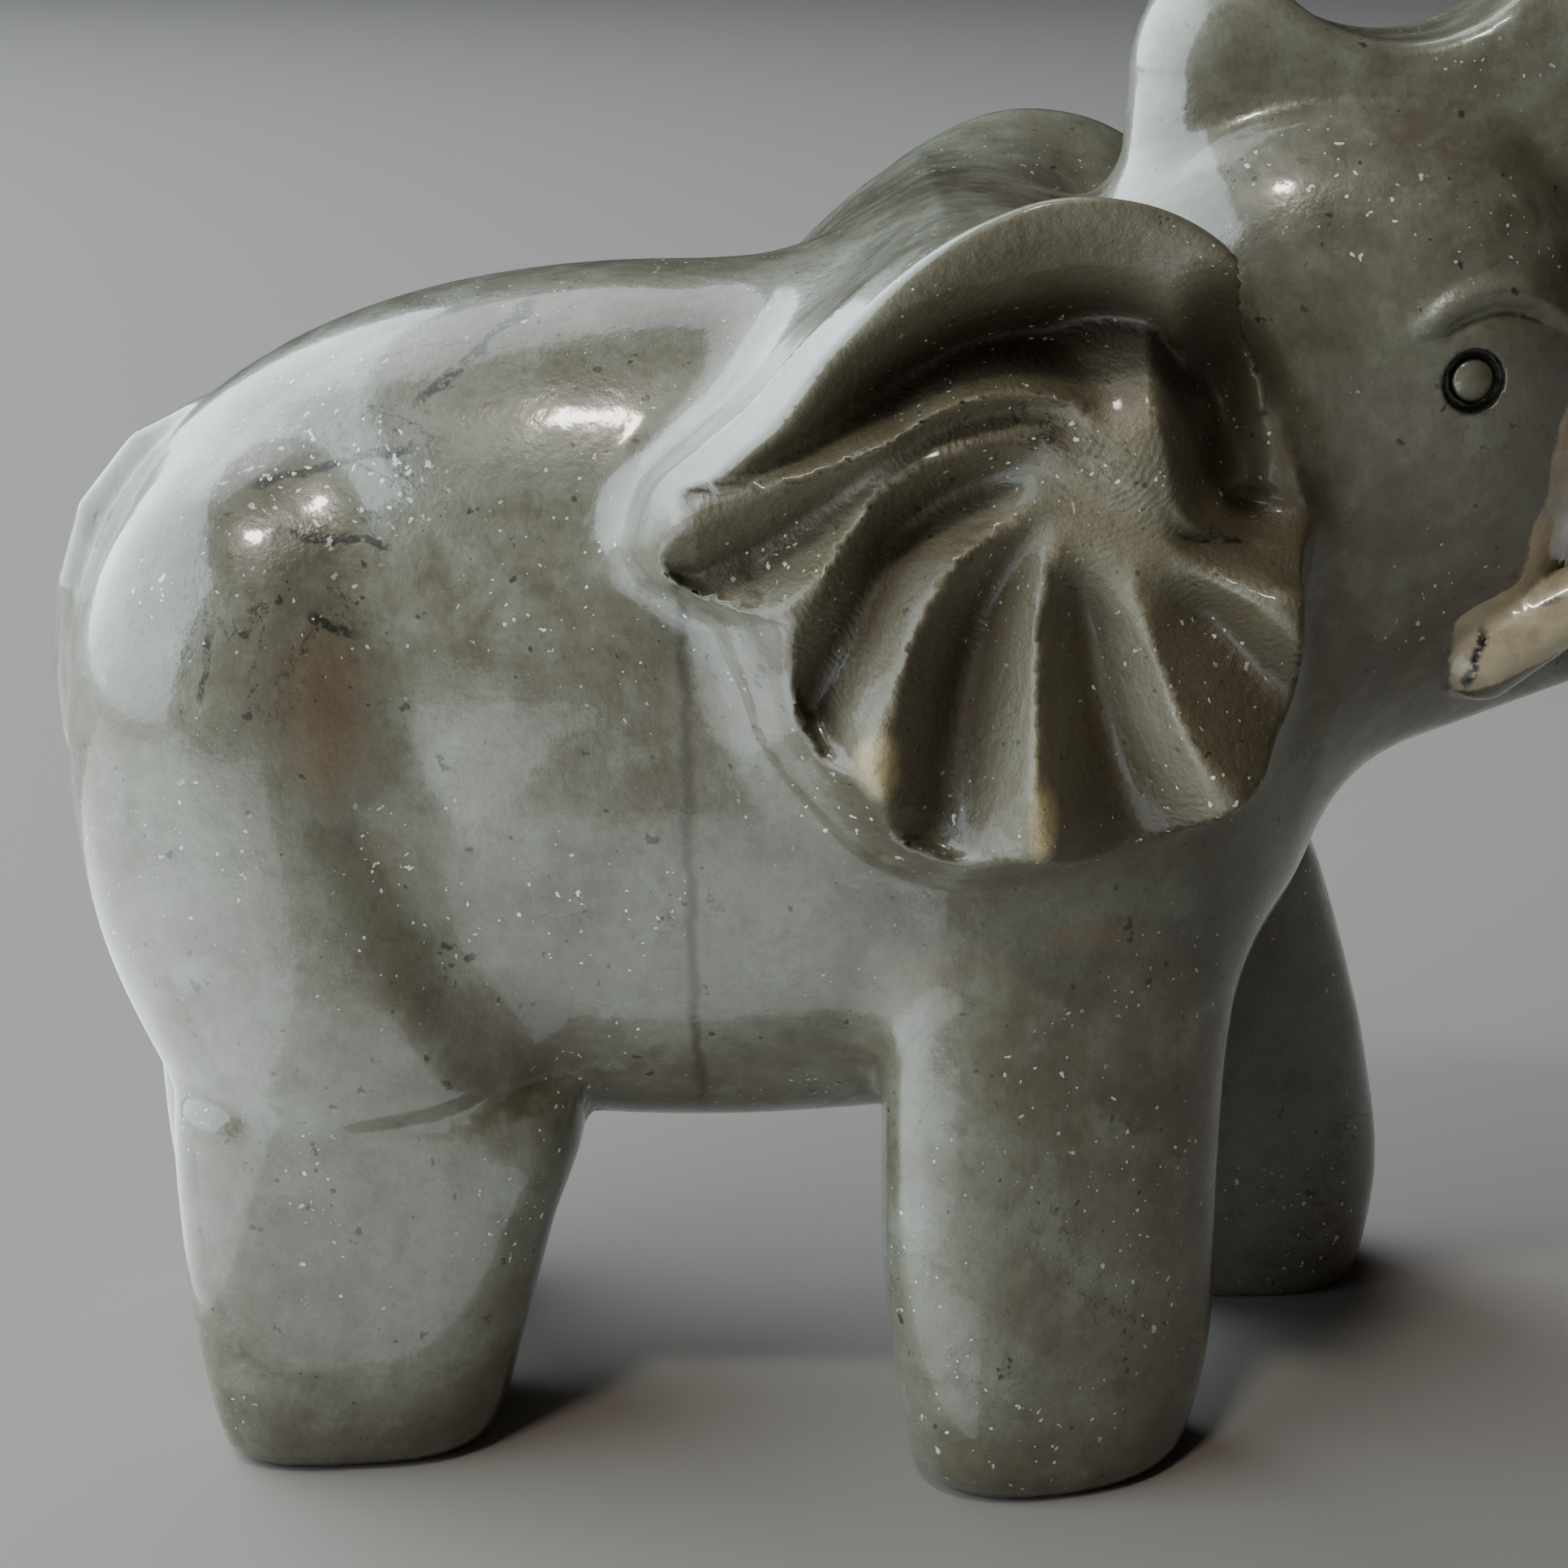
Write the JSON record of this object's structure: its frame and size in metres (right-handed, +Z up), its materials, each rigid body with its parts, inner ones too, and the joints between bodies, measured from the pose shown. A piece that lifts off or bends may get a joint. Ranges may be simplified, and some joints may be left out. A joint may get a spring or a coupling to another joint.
{
  "type": "carved stone elephant",
  "caption": "Small polished stone elephant standing in a walking pose, with fluted fan ears, drilled eyes, short tusks and its trunk raised.",
  "frame": {"origin": "centre of the footprint of the bounding box, on the plane of the soles", "axes": "+X towards the head, +Y to the elephant's left, +Z up"},
  "size_m": [0.0835, 0.0406, 0.0893],
  "materials": {
    "jasper": "polished"
  },
  "bodies": {
    "root": {"elephant": "jasper"}
  },
  "joints": []
}
